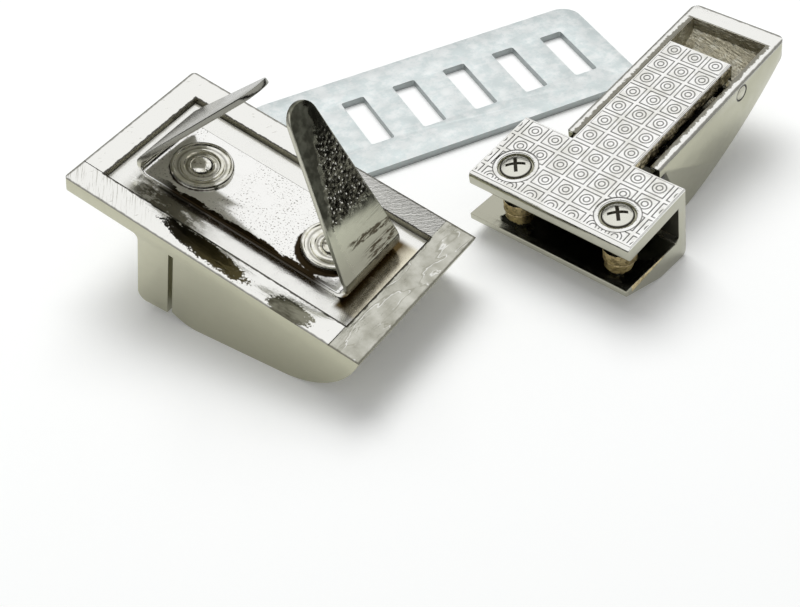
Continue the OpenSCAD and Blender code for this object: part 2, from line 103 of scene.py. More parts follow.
class Graph:
    """A material's node tree, with short ways to add nodes and join them."""

    def __init__(self, name, place):
        self.material = bpy.data.materials.new(name)
        self.material.use_nodes = True
        self.tree = self.material.node_tree
        self.shader = self.tree.nodes["Principled BSDF"]
        coords = self.add("TexCoord")
        self.at = self.add("Mapping", vector_type="TEXTURE", Vector=coords.outputs["Object"],
                           Location=place.translation * MM, Rotation=tuple(place.to_euler()),
                           Scale=(MM, MM, MM)).outputs[0]
        parts = self.add("SeparateXYZ", Vector=self.at)
        self.x, self.y, self.z = parts.outputs
        geometry = self.add("NewGeometry")
        facing = self.add("VectorRotate", rotation_type="EULER_XYZ", invert=True,
                          Vector=geometry.outputs["Normal"], Rotation=tuple(place.to_euler()))
        self.nx, self.ny, self.nz = self.add("SeparateXYZ", Vector=facing.outputs[0]).outputs

    def add(self, kind, **values):
        made = self.tree.nodes.new("ShaderNode" + kind)
        for key, value in values.items():
            name = key.replace("_", " ")
            if name in made.inputs:
                self.put(made.inputs[name], value)
            else:
                setattr(made, key, value)
        return made

    def put(self, socket, value):
        if isinstance(value, bpy.types.NodeSocket):
            self.tree.links.new(value, socket)
        else:
            socket.default_value = value

    def math(self, operation, *values, clamp=False):
        made = self.add("Math", operation=operation, use_clamp=clamp)
        for socket, value in zip(made.inputs, values):
            self.put(socket, value)
        return made.outputs[0]

    def times(self, *values):
        out = values[0]
        for value in values[1:]:
            out = self.math("MULTIPLY", out, value)
        return out

    def plus(self, *values):
        out = values[0]
        for value in values[1:]:
            out = self.math("ADD", out, value)
        return out

    def invert(self, value):
        return self.math("SUBTRACT", 1.0, value, clamp=True)

    def over(self, value, edge, soft=0.05):
        """1 where value is above edge, 0 where it is below, with a soft step."""
        made = self.add("MapRange", interpolation_type="SMOOTHSTEP")
        for name, v in (("Value", value), ("From Min", edge - soft), ("From Max", edge + soft)):
            self.put(made.inputs[name], v)
        return made.outputs[0]

    def between(self, value, low, high, soft=0.05):
        return self.times(self.over(value, low, soft), self.invert(self.over(value, high, soft)))

    def scale_to(self, value, low, high, start=0.0, end=1.0):
        """value from low..high taken to start..end, clamped."""
        made = self.add("MapRange")
        for name, v in (("Value", value), ("From Min", low), ("From Max", high),
                        ("To Min", start), ("To Max", end)):
            self.put(made.inputs[name], v)
        return made.outputs[0]

    def away(self, a, at_a, b, at_b):
        """Distance, in two coordinates, from a point."""
        squares = [self.math("POWER", self.math("SUBTRACT", value, at), 2.0)
                   for value, at in ((a, at_a), (b, at_b))]
        return self.math("SQRT", self.plus(*squares))

    def stretched(self, scale, angle=0.0):
        """The unit's coordinates, turned about Z and scaled per axis."""
        turned = self.add("VectorRotate", rotation_type="Z_AXIS", Vector=self.at, Angle=math.radians(angle))
        made = self.add("VectorMath", operation="MULTIPLY")
        self.put(made.inputs[0], turned.outputs[0])
        made.inputs[1].default_value = scale
        return made.outputs[0]

    def noise(self, scale, detail=3.0, rough=0.5, distortion=0.0, vector=None):
        made = self.add("TexNoise", Vector=vector or self.at, Scale=scale, Detail=detail, Roughness=rough,
                        Distortion=distortion)
        return made.outputs[0]

    def cells(self, scale, vector=None, feature="F1"):
        made = self.add("TexVoronoi", feature=feature, Vector=vector or self.at, Scale=scale)
        return made.outputs["Distance"]

    def mix(self, amount, a, b):
        """A colour between a and b."""
        made = self.add("Mix", data_type="RGBA")
        self.put(made.inputs["Factor"], amount)
        for socket, value in ((made.inputs[6], a), (made.inputs[7], b)):
            self.put(socket, (*value, 1.0) if isinstance(value, tuple) and len(value) == 3 else value)
        return made.outputs[2]

    def blend(self, amount, a, b):
        """A number between a and b."""
        made = self.add("Mix", data_type="FLOAT")
        self.put(made.inputs["Factor"], amount)
        self.put(made.inputs[2], a)
        self.put(made.inputs[3], b)
        return made.outputs[0]

    def bump(self, *layers):
        """Height layers of (height, depth in millimetres) as one normal."""
        normal = None
        for height, depth in layers:
            made = self.add("Bump", Height=height, Distance=depth * MM, Strength=1.0)
            if normal is not None:
                self.put(made.inputs["Normal"], normal)
            normal = made.outputs[0]
        self.put(self.shader.inputs["Normal"], normal)

    def surface(self, **values):
        for key, value in values.items():
            value = (*value, 1.0) if isinstance(value, tuple) and len(value) == 3 else value
            self.put(self.shader.inputs[key.replace("_", " ")], value)
        return self.material


# Plated metal where it lies open to the light, in its satin side faces, and in shaded or dull places
NICKEL = (0.60, 0.592, 0.50)
NICKEL_PALE = (0.87, 0.868, 0.835)
NICKEL_SATIN = (0.51, 0.501, 0.383)
NICKEL_DARK = (0.20, 0.19, 0.14)
# Near black, painted as shade in the jaw's room, under and beside the stem, and round the pin
DEEP_SHADE = (0.022, 0.021, 0.018)

# Painted dark reflections along outer edges, painted brown shadows on the strip, and painted shade in the
# lines on the rivets, with the same dark for their flecks
EDGE_REFLECTION = (0.10, 0.095, 0.07)
BROWN_SHADOW = (0.022, 0.015, 0.007)
STEP_SHADE_AND_FLECK = (0.07, 0.062, 0.038)


def keeper_metal():
    """Nickel on the casting: pale scratched rims, a rippled band at the thin end and satin sides."""
    g = Graph("keeper_nickel", KEEPER)
    up = g.over(g.nz, 0.7)
    floor = g.times(up, g.invert(g.over(g.z, -RECESS_D / 2)))
    rim = g.times(up, g.over(g.z, -RECESS_D / 2))
    thin_end = g.times(rim, g.over(g.x, KEEPER_L - RIM_THIN, 0.1))
    near_rim = g.times(rim, g.invert(g.over(g.y, RIM_SIDE - KEEPER_W / 2, 0.1)), g.invert(thin_end))
    far_rim = g.times(rim, g.over(g.y, KEEPER_W / 2 - RIM_SIDE, 0.1), g.invert(thin_end))
    side = g.invert(up)

    swell = g.noise(0.22, 2.0)
    streak = g.noise(0.75, 5.0, 0.62, vector=g.stretched((0.30, 1.0, 1.0)))
    from_side = g.math("SUBTRACT", KEEPER_W / 2, g.math("ABSOLUTE", g.y))
    from_end = g.math("MINIMUM", g.x, g.math("SUBTRACT", KEEPER_L, g.x))
    rag = g.noise(1.1, 5.0, 0.7)
    from_outline = g.plus(g.math("MINIMUM", from_side, from_end), g.times(rag, -0.36))
    outline = g.times(rim, g.invert(g.over(from_outline, 0.06, 0.10)))
    in_recess = g.math("MINIMUM", g.math("SUBTRACT", from_side, RIM_SIDE),
                       g.math("MINIMUM", g.math("SUBTRACT", g.x, RIM_MOUTH),
                              g.math("SUBTRACT", KEEPER_L - RIM_THIN, g.x)))
    brink = g.times(rim, g.over(g.plus(in_recess, g.times(rag, 0.5)), 0.02, 0.05))
    ragged = g.plus(g.times(g.noise(1.3, 6.0, 0.72, 0.5, vector=g.stretched((0.55, 1.2, 1.0))), 2.4),
                    g.times(g.noise(4.0, 3.0), 1.2), -1.8)
    # Painted dark reflections: ragged patches on the near rim
    inset = g.scale_to(g.x, 12.0, 28.0, 2.7, 1.2)
    patches = []
    for middle, reach, depth in RIM_REFLECTIONS:
        along = g.math("POWER", g.times(g.math("SUBTRACT", g.x, middle), 1 / reach), 2.0)
        across = g.math("POWER", g.times(g.math("SUBTRACT", from_side, inset), 1 / depth), 2.0)
        patches.append(g.plus(along, across, ragged))
    rim_reflection = g.times(near_rim, g.invert(g.over(g.math("MINIMUM", *patches), 0.85, 0.10)))
    pits = g.math("MINIMUM", g.cells(3.2), 0.22)
    scratches = g.noise(5.0, 3.0, 0.6, vector=g.stretched((1.0, 0.06, 1.0), -38.0))
    scratch_zone = g.times(near_rim, g.invert(g.over(g.x, 9.0, 5.0)))
    hatch = g.add("TexWave", Vector=g.stretched((1.0, 1.0, 1.0), 52.0), Scale=1.5, Distortion=5.0,
                  Detail=3.0).outputs[1]
    hatch_zone = g.times(far_rim, g.over(g.x, 26.0, 7.0))
    waves = g.noise(0.9, 4.0, 0.6, 0.6, vector=g.stretched((1.0, 0.22, 1.0), 4.0))
    chatter = g.noise(3.2, 4.0, 0.6, vector=g.stretched((0.25, 1.0, 1.0), -8.0))
    ripple = g.math("SUBTRACT", g.noise(0.5, 3.0, 0.5, 0.3, vector=g.stretched((1.0, 0.22, 1.0), 5.0)), 0.5)
    crest_highlight = g.times(thin_end, g.between(ripple, 0.0, 0.012, 0.005), g.over(g.noise(0.35, 2.0), 0.46, 0.04))
    trough_shade = g.times(thin_end, g.between(ripple, -0.03, -0.004, 0.010))

    g.bump(
        (swell, 0.07),
        (g.times(streak, near_rim), 0.06),
        (g.times(streak, g.plus(far_rim, g.times(floor, 0.5))), 0.05),
        (g.times(pits, g.plus(g.times(rim, 0.5), floor)), 0.04),
        (g.times(scratches, scratch_zone), 0.05),
        (g.times(hatch, hatch_zone), 0.05),
        (g.times(waves, thin_end), 0.25),
        (g.times(chatter, thin_end), 0.012),
    )
    tone = g.mix(side, NICKEL_PALE, NICKEL_SATIN)
    band = g.mix(g.scale_to(g.noise(0.5, 3.0), 0.30, 0.70), (0.38, 0.375, 0.315), (0.62, 0.615, 0.55))
    tone = g.mix(thin_end, tone, band)
    # Painted shade in the ripples' troughs and painted highlights on their crests, on the thin-end band
    tone = g.mix(g.times(trough_shade, 0.4), tone, (0.25, 0.245, 0.19))
    tone = g.mix(g.times(crest_highlight, 0.6), tone, (0.93, 0.93, 0.91))
    tone = g.mix(g.times(hatch_zone, hatch, 0.42), tone, NICKEL_DARK)
    tone = g.mix(g.times(scratch_zone, g.scale_to(scratches, 0.52, 0.66), 0.5), tone, NICKEL_DARK)
    # Painted dark reflections on the near rim: dark brown in the first patch, streaky grey in the one past x
    # = 27.5
    dark_reflection = g.mix(g.scale_to(g.x, 16.0, 22.0), (0.012, 0.010, 0.006), (0.065, 0.054, 0.024))
    grey_reflection = g.mix(g.scale_to(streak, 0.42, 0.58), (0.065, 0.062, 0.042), (0.22, 0.215, 0.165))
    tone = g.mix(rim_reflection, tone, g.mix(g.over(g.x, 27.5, 0.3), dark_reflection, grey_reflection))
    # Dark brown ragged mottling on the recess floor's near half, between x = 6.5 and 16.5
    near_floor_dark = g.times(floor, g.invert(g.over(g.y, 0.0)), g.between(g.x, 6.5, 16.5, 2.0),
                    g.over(g.noise(0.8, 5.0, 0.65, vector=g.stretched((0.5, 1.0, 1.0))), 0.45, 0.05))
    tone = g.mix(g.times(near_floor_dark, 0.85), tone, (0.085, 0.075, 0.035))
    # Painted reflection on the recess floor past the strip's thin end: dark brown by the strip, pale further
    # out
    end_reflection = g.times(floor, g.between(g.y, -6.5, 6.5, 0.5), g.over(g.x, 35.0, 0.3))
    brown = g.mix(g.scale_to(g.plus(g.x, rag), 36.3, 38.2), (0.09, 0.062, 0.025), (0.80, 0.75, 0.60))
    tone = g.mix(end_reflection, tone, brown)
    # Painted shade: the recess walls darker towards their foot
    recess_wall = g.times(side, g.over(in_recess, -0.3, 0.1), g.over(g.z, -RECESS_D - 0.2, 0.1))
    wall = g.mix(g.scale_to(g.z, -RECESS_D, -0.2), (0.03, 0.027, 0.018), (0.36, 0.345, 0.26))
    tone = g.mix(recess_wall, tone, wall)
    # Painted dark reflection as a ragged line along the rim's outer edge
    tone = g.mix(g.times(outline, 0.8), tone, EDGE_REFLECTION)
    # Painted shadow as a dark line along the rim's inner edge, where the recess begins
    tone = g.mix(g.times(brink, 0.93), tone, (0.03, 0.026, 0.016))
    scuff = g.noise(1.9, 5.0, 0.7, 0.5, vector=g.stretched((1.0, 0.35, 1.0), 30.0))
    tone = g.mix(g.times(rim, g.over(scuff, 0.66, 0.03), 0.45), tone, (0.24, 0.225, 0.16))
    rough = g.blend(side, 0.09, 0.30)
    rough = g.blend(floor, rough, 0.22)
    rough = g.blend(thin_end, rough, 0.17)
    rough = g.plus(rough, g.scale_to(g.noise(0.9, 4.0), 0.4, 0.7, 0.0, 0.07))
    return g.surface(Base_Color=tone, Metallic=1.0, Roughness=rough)


def strip_metal():
    """Nickel on the strip: a bright speckled flat, and prongs with dents, a foot with a painted sheen and
    folds with painted shade.
    """
    g = Graph("strip_nickel", KEEPER)
    raised = g.over(g.z, 1.2, 0.6)
    thin_prong = g.times(raised, g.over(g.x, 21.0, 0.5))
    mouth_prong = g.times(raised, g.invert(g.over(g.x, 21.0, 0.5)))
    flat = g.invert(g.over(g.z, 0.3, 0.3))
    lean = math.radians(PRONG_LEAN)
    bend_x, bend_z = KEEPER_L - STRIP_THIN - BEND_R - STRIP_T, STRIP_T - RECESS_D + BEND_R
    along = g.plus(g.times(g.math("SUBTRACT", bend_x, g.x), math.cos(lean)),
                   g.times(g.math("SUBTRACT", g.z, bend_z), math.sin(lean)))
    half_w = g.scale_to(along, 0.4, 18.3, STRIP_W / 2, 2.45)
    from_edge = g.math("SUBTRACT", half_w, g.math("ABSOLUTE", g.y))
    jag = g.math("SUBTRACT", g.noise(1.6, 5.0, 0.65), 0.5)
    past_border = g.plus(g.y, g.scale_to(along, 6.0, 18.0, 3.4, -0.8), g.times(jag, 2.5))
    middle = g.times(g.over(past_border, 0.0, 0.3), g.over(from_edge, 0.2, 0.15))
    hammered = g.times(thin_prong, g.over(g.plus(along, g.times(jag, 4.0)), 6.6, 0.35),
                       g.invert(g.over(along, 15.0, 3.0)), middle)
    dents = g.cells(2.1, feature="SMOOTH_F1")
    wrinkle = g.noise(1.7, 4.0, 0.6)
    specks = g.math("MINIMUM", g.cells(1.9), 0.13)
    speck_zone = g.times(flat, g.over(g.noise(0.16, 2.0), 0.47, 0.05))
    creases = g.noise(2.6, 3.0, 0.6, vector=g.stretched((1.0, 0.07, 1.0)))
    foot = g.math("MAXIMUM", g.math("SUBTRACT", 9.5, along), 0.0)
    g.bump(
        (g.noise(0.22, 2.0), 0.04),
        (g.times(foot, foot, thin_prong), 0.045),
        (g.times(g.plus(dents, g.times(wrinkle, 0.8)), hammered), 0.15),
        (g.times(wrinkle, mouth_prong), 0.03),
        (g.times(creases, thin_prong, g.between(along, 1.5, 5.0, 0.8)), 0.02),
        (g.times(specks, speck_zone), 0.10),
    )
    tone = g.mix(flat, NICKEL, (0.92, 0.918, 0.895))
    tone = g.mix(g.times(speck_zone, g.over(g.noise(4.5, 3.0), 0.62, 0.03), 0.75), tone, (0.12, 0.11, 0.075))
    fray = g.noise(0.8, 5.0, 0.7, vector=g.stretched((0.5, 1.0, 1.0)))
    from_near = g.plus(g.math("ADD", g.y, STRIP_W / 2), g.times(fray, -2.4))
    painted_edge_dark = g.times(flat, g.between(g.x, 9.0, 33.0, 2.0), g.invert(g.over(from_near, -0.60, 0.07)))
    # Painted shadow and its reflection as a dark brown ragged band along the strip's near edge
    tone = g.mix(painted_edge_dark, tone, BROWN_SHADOW)
    # Painted shadow on the strip round each rivet, reaching further towards -Y
    for x, (aside, wide) in zip(RIVETS_AT, RIVET_SHADOWS):
        from_axis = g.plus(g.away(g.x, x, g.y, -aside), g.times(jag, 0.5))
        beside = g.times(flat, g.invert(g.over(from_axis, RIVET_R + wide, 0.10)))
        tone = g.mix(beside, tone, BROWN_SHADOW)
    under = g.times(mouth_prong, g.invert(g.over(g.nz, -0.2)))
    foot_zone = g.times(thin_prong, g.invert(g.over(g.plus(along, g.times(jag, 2.0)), 6.4, 0.5)))
    from_fold = g.plus(along, g.scale_to(g.y, -2.0, 5.0, -3.15, -2.25), g.times(jag, 0.9))
    lines = g.noise(5.2, 4.0, 0.65, vector=g.stretched((1.0, 0.12, 1.0)))
    fold = g.times(foot_zone, g.between(from_fold, -0.42, 0.36, 0.12), g.over(g.y, -2.2, 0.8),
                   g.over(lines, 0.46, 0.03))
    folds = g.times(foot_zone, g.over(lines, 0.52, 0.03), g.between(along, -0.9, 1.5, 0.3),
                    g.over(g.y, -0.6, 1.5))
    tone = g.mix(mouth_prong, tone, (0.25, 0.247, 0.215))
    face = g.times(thin_prong, g.invert(g.over(g.math("ABSOLUTE", g.ny), 0.6, 0.1)))
    cloudy = g.mix(g.scale_to(g.noise(0.9, 4.0), 0.4, 0.62), (0.13, 0.13, 0.098), (0.27, 0.275, 0.215))
    tone = g.mix(face, tone, cloudy)
    # Painted sheen on the foot: paler further up from the bend
    foot_sheen = g.mix(g.scale_to(along, 1.0, 6.0), (0.30, 0.295, 0.235), (0.50, 0.51, 0.40))
    tone = g.mix(foot_zone, tone, foot_sheen)
    # Painted shade as dark lines in the folds at the foot
    tone = g.mix(g.times(g.math("MAXIMUM", fold, folds), 0.9), tone, (0.04, 0.03, 0.014))
    tone = g.mix(under, tone, (0.66, 0.645, 0.57))
    # Painted highlights (glints) in the dents of the hammered patch, over a dark mottled base
    glint = g.invert(g.over(g.plus(g.cells(2.1), g.times(jag, 0.5)), 0.24, 0.09))
    dark_mottle = g.mix(g.scale_to(wrinkle, 0.40, 0.62), (0.025, 0.024, 0.016), (0.24, 0.235, 0.18))
    tone = g.mix(hammered, tone, g.mix(glint, dark_mottle, (0.92, 0.91, 0.84)))
    rough = g.blend(g.plus(thin_prong, mouth_prong), 0.15, 0.20)
    rough = g.blend(under, rough, 0.6)
    rough = g.blend(hammered, rough, 0.13)
    rough = g.blend(g.times(thin_prong, g.invert(middle)), rough, 0.36)
    rough = g.plus(rough, g.scale_to(wrinkle, 0.4, 0.7, 0.0, 0.06))
    return g.surface(Base_Color=tone, Metallic=1.0, Roughness=rough)


def rivet_metal():
    """Nickel on the rivets, with painted shade as dark lines in the steps of their heads, and dark flecks
    near their middles.
    """
    g = Graph("rivet_nickel", KEEPER)
    g.bump((g.noise(1.4, 3.0), 0.015))
    rough = g.scale_to(g.noise(1.8, 4.0), 0.35, 0.7, 0.12, 0.24)
    tone = g.mix(g.scale_to(g.noise(0.9, 3.0), 0.4, 0.65), (0.90, 0.89, 0.83), (0.70, 0.685, 0.58))
    radius = g.math("MINIMUM", *[g.away(g.x, x, g.y, 0.0) for x in RIVETS_AT])
    # Painted shade in the steps of the heads
    for inner, outer in RIVET_GROOVES:
        groove = g.between(radius, inner * RIVET_R, outer * RIVET_R, 0.09)
        tone = g.mix(g.times(groove, 0.55), tone, STEP_SHADE_AND_FLECK)
    speck = g.times(g.over(g.noise(2.4, 5.0, 0.7), 0.56, 0.04), g.invert(g.over(radius, 0.5 * RIVET_R, 0.2)))
    tone = g.mix(g.times(speck, 0.6), tone, STEP_SHADE_AND_FLECK)
    return g.surface(Base_Color=tone, Metallic=1.0, Roughness=rough)


def galvanised():
    """Zinc on the sheet: bluish clouds and spangles, and darker cut edges."""
    g = Graph("galvanised_sheet", PLATE)
    spangle = g.cells(0.45)
    cloud = g.noise(0.55, 5.0, 0.7)
    fine = g.noise(4.0, 4.0, 0.65)
    wall = g.invert(g.over(g.math("ABSOLUTE", g.nz), 0.6))
    tone = g.mix(g.scale_to(cloud, 0.42, 0.58), (0.77, 0.845, 0.845), (0.95, 0.985, 0.98))
    tone = g.mix(g.times(g.scale_to(spangle, 0.1, 0.9), 0.4), tone, (0.55, 0.605, 0.605))
    tone = g.mix(wall, tone, (0.42, 0.455, 0.455))
    g.bump((spangle, 0.012), (fine, 0.014))
    rough = g.scale_to(g.plus(cloud, g.times(fine, 0.4)), 0.4, 0.95, 0.36, 0.55)
    return g.surface(Base_Color=tone, Metallic=0.5, Roughness=rough)


def tongue_metal():
    """Nickel on the T: painted shade, near black, in the room inside the jaw and under the stem, and
    brass-coloured bosses.
    """
    g = Graph("tongue_nickel", TONGUE)
    top = g.over(g.z, -0.25, 0.1)
    jaw_room = g.times(g.between(g.y, 0.4, BAR_W - JAW_WALL + 0.05, 0.1),
                       g.between(g.z, -7.4, -TEE_T + 0.05, 0.05))
    ends = g.over(g.math("ABSOLUTE", g.x), BAR_L / 2 - 0.05, 0.02)
    on_lip = g.over(g.nz, 0.5, 0.1)
    dark = g.times(jaw_room, g.invert(ends), g.invert(on_lip))
    stem = g.over(g.y, BAR_W + 0.1)
    under_stem = g.times(stem, g.invert(g.over(g.z, -TEE_T + 0.1)))
    boss = g.times(jaw_room, g.invert(g.over(g.math("ABSOLUTE", g.nz), 0.9)), g.invert(g.over(g.y, 7.0)))
    cast = g.noise(2.2, 5.0, 0.65)
    scratch = g.noise(3.0, 3.0, 0.6, vector=g.stretched((0.1, 1.0, 1.0), 3.0))
    g.bump(
        (g.noise(0.3, 2.0), 0.16),
        (g.times(cast, boss), 0.06),
        (g.times(scratch, g.invert(top)), 0.012),
    )
    tone = g.mix(top, (0.43, 0.424, 0.345), NICKEL_PALE)
    # Painted shade: near black in the jaw's room and under the stem
    tone = g.mix(g.math("MAXIMUM", dark, under_stem), tone, DEEP_SHADE)
    tone = g.mix(boss, tone, (0.78, 0.64, 0.36))
    tone = g.mix(g.times(boss, g.scale_to(cast, 0.48, 0.62), 0.7), tone, (0.15, 0.105, 0.045))
    rough = g.blend(dark, 0.16, 0.5)
    rough = g.blend(g.times(jaw_room, on_lip), rough, 0.06)
    rough = g.plus(rough, g.scale_to(g.noise(0.8, 4.0), 0.4, 0.7, 0.0, 0.07))
    return g.surface(Base_Color=tone, Metallic=1.0, Roughness=rough)


def relief_metal():
    """Nickel on the pattern, dark where it is sunk."""
    g = Graph("relief_nickel", TONGUE)
    sunk = g.invert(g.scale_to(g.z, 0.03, 0.068))
    plain = g.mix(g.scale_to(g.noise(0.4, 4.0, 0.6), 0.42, 0.62), (0.95, 0.948, 0.93), (0.80, 0.795, 0.75))
    tone = g.mix(sunk, plain, (0.03, 0.028, 0.02))
    g.bump((g.noise(0.5, 3.0), 0.05), (g.noise(3.0, 3.0), 0.012))
    rough = g.scale_to(g.noise(1.5, 4.0), 0.35, 0.7, 0.14, 0.26)
    return g.surface(Base_Color=tone, Metallic=1.0, Roughness=rough)


def flash_metal():
    """Rough brown and bright casting."""
    g = Graph("rough_casting", TONGUE)
    grain = g.noise(2.6, 5.0, 0.65)
    tone = g.mix(g.scale_to(grain, 0.4, 0.62), (0.20, 0.165, 0.085), (0.84, 0.75, 0.53))
    g.bump((grain, 0.10))
    return g.surface(Base_Color=tone, Metallic=1.0, Roughness=0.28)


def screw_metal():
    """Nickel on the screws, with painted shade in the cross."""
    g = Graph("screw_nickel", TONGUE)
    cross = g.times(g.invert(g.over(g.z, 0.02, 0.04)), g.over(g.nz, 0.5))
    tone = g.mix(cross, (0.74, 0.735, 0.66), (0.035, 0.032, 0.025))
    g.bump((g.noise(2.5, 3.0), 0.03))
    rough = g.scale_to(g.noise(2.0, 4.0), 0.35, 0.7, 0.22, 0.34)
    return g.surface(Base_Color=tone, Metallic=1.0, Roughness=rough)


def shell_metal():
    """Nickel on the shell: painted dark reflections along its edges, a brushed floor, and painted shade
    beside the stem and round the pin.
    """
    g = Graph("shell_nickel", TONGUE)
    inside = g.times(g.invert(g.over(g.math("ABSOLUTE", g.x), SHELL_W / 2 - SHELL_T + 0.05, 0.03)),
                     g.invert(g.over(g.z, -1.4, 0.1)), g.over(g.nz, -0.3, 0.2))
    brushed = g.noise(4.2, 4.0, 0.6, 0.4, vector=g.stretched((0.14, 1.0, 1.0), 14.0))
    cast = g.noise(0.7, 5.0, 0.65)
    seam = g.between(g.away(g.y, PIN_Y, g.z, PIN_Z), PIN_R - 0.02, PIN_R + 0.16, 0.03)
    edge = g.over(g.z, -SHELL_EDGE - 0.25, 0.1)
    across = g.math("ABSOLUTE", g.x)
    rag = g.noise(1.2, 5.0, 0.7)
    from_out = g.math("MINIMUM", g.math("SUBTRACT", SHELL_W / 2, across), g.math("SUBTRACT", SHELL_TIP, g.y))
    outline = g.times(edge, g.invert(g.over(g.plus(from_out, g.times(rag, -0.4)), 0.06, 0.10)))
    from_in = g.math("SUBTRACT", across, SHELL_W / 2 - SHELL_T)
    painted_edge_dark = g.times(edge, g.invert(g.over(g.plus(from_in, g.times(rag, -1.3)), -0.12, 0.08)),
                   g.invert(g.over(g.y, SHELL_TIP - SHELL_LIP)))
    g.bump(
        (g.noise(0.22, 2.0), 0.20),
        (g.times(g.noise(0.9, 4.0), edge), 0.12),
        (g.times(g.plus(brushed, cast), inside), 0.24),
    )
    tone = g.mix(edge, (0.44, 0.434, 0.335), NICKEL_PALE)
    # Painted dark reflection as a ragged line along the top's outer edges and tip
    tone = g.mix(g.times(outline, 0.8), tone, EDGE_REFLECTION)
    # Painted dark reflections along the inner edges of the shell's top, short of the tip
    tone = g.mix(g.times(painted_edge_dark, 0.85), tone, (0.14, 0.13, 0.09))
    tone = g.mix(inside, tone, (0.60, 0.56, 0.43))
    tone = g.mix(g.times(inside, g.scale_to(cast, 0.50, 0.60)), tone, (0.80, 0.78, 0.66))
    tone = g.mix(g.times(inside, g.scale_to(brushed, 0.42, 0.62), 0.6), tone, (0.22, 0.20, 0.14))
    # Painted shade: near black inside the shell beside the stem, and in the gap round the pin
    beside_stem = g.times(inside, g.invert(g.over(g.y, BAR_W + STEM_L - 1.2, 0.8)))
    tone = g.mix(beside_stem, tone, DEEP_SHADE)
    tone = g.mix(seam, tone, DEEP_SHADE)
    rough = g.blend(inside, 0.15, 0.30)
    rough = g.plus(rough, g.scale_to(g.noise(0.7, 4.0), 0.4, 0.7, 0.0, 0.06))
    return g.surface(Base_Color=tone, Metallic=1.0, Roughness=rough)


def pin_metal():
    """Plated steel on the pin's ends."""
    g = Graph("pin_steel", TONGUE)
    g.bump((g.noise(1.6, 3.0), 0.10))
    rough = g.scale_to(g.noise(2.2, 4.0), 0.35, 0.7, 0.14, 0.30)
    tone = g.mix(g.scale_to(g.noise(1.1, 3.0), 0.45, 0.6), (0.50, 0.49, 0.40), (0.34, 0.33, 0.26))
    return g.surface(Base_Color=tone, Metallic=1.0, Roughness=rough)


def spring_metal():
    """Plain spring wire."""
    g = Graph("spring_steel", TONGUE)
    g.bump((g.noise(3.0, 3.0), 0.02))
    tone = g.mix(g.scale_to(g.noise(1.5, 3.0), 0.4, 0.65), (0.42, 0.40, 0.36), (0.28, 0.26, 0.22))
    return g.surface(Base_Color=tone, Metallic=1.0, Roughness=0.32)


def smooth_by_angle():
    """Geometry nodes that shade a piece smooth but for its sharp edges."""
    tree = bpy.data.node_groups.new("smooth_by_angle", "GeometryNodeTree")
    tree.interface.new_socket("Geometry", in_out="INPUT", socket_type="NodeSocketGeometry")
    tree.interface.new_socket("Geometry", in_out="OUTPUT", socket_type="NodeSocketGeometry")
    kinds = ("NodeGroupInput", "NodeGroupOutput", "GeometryNodeInputMeshEdgeAngle")
    made = {kind: tree.nodes.new(kind) for kind in kinds}
    faces = tree.nodes.new("GeometryNodeSetShadeSmooth")
    edges = tree.nodes.new("GeometryNodeSetShadeSmooth")
    edges.domain = "EDGE"
    edges.inputs["Shade Smooth"].default_value = False
    sharp = tree.nodes.new("FunctionNodeCompare")
    sharp.operation = "GREATER_THAN"
    sharp.inputs[1].default_value = SHARP_ANGLE
    join = tree.links.new
    join(made["NodeGroupInput"].outputs[0], faces.inputs["Geometry"])
    join(faces.outputs[0], edges.inputs["Geometry"])
    join(made["GeometryNodeInputMeshEdgeAngle"].outputs["Unsigned Angle"], sharp.inputs[0])
    join(sharp.outputs[0], edges.inputs["Selection"])
    join(edges.outputs[0], made["NodeGroupOutput"].inputs[0])
    return tree


SMOOTH = smooth_by_angle()


def finish_node(name, material, edge):
    """Give a solid its material and rounded edges; edge is their width in millimetres."""
    obj = nodes[name]
    obj.data.materials.clear()
    obj.data.materials.append(material)
    obj.modifiers.new("weld", "WELD").merge_threshold = WELD * MM
    if edge:
        flat = obj.modifiers.new("flat", "DECIMATE")
        flat.decimate_type = "DISSOLVE"
        flat.angle_limit = FLAT_ANGLE
        rounded = obj.modifiers.new("edges", "BEVEL")
        rounded.limit_method = "ANGLE"
        rounded.angle_limit = SHARP_ANGLE
        rounded.width = edge * MM
        rounded.segments = 3
        rounded.use_clamp_overlap = True
        rounded.harden_normals = False
    obj.modifiers.new("smooth", "NODES").node_group = SMOOTH


def add_object(name, data):
    """A new object with that mesh, lamp or camera, in the scene."""
    obj = bpy.data.objects.new(name, data)
    bpy.context.collection.objects.link(obj)
    return obj


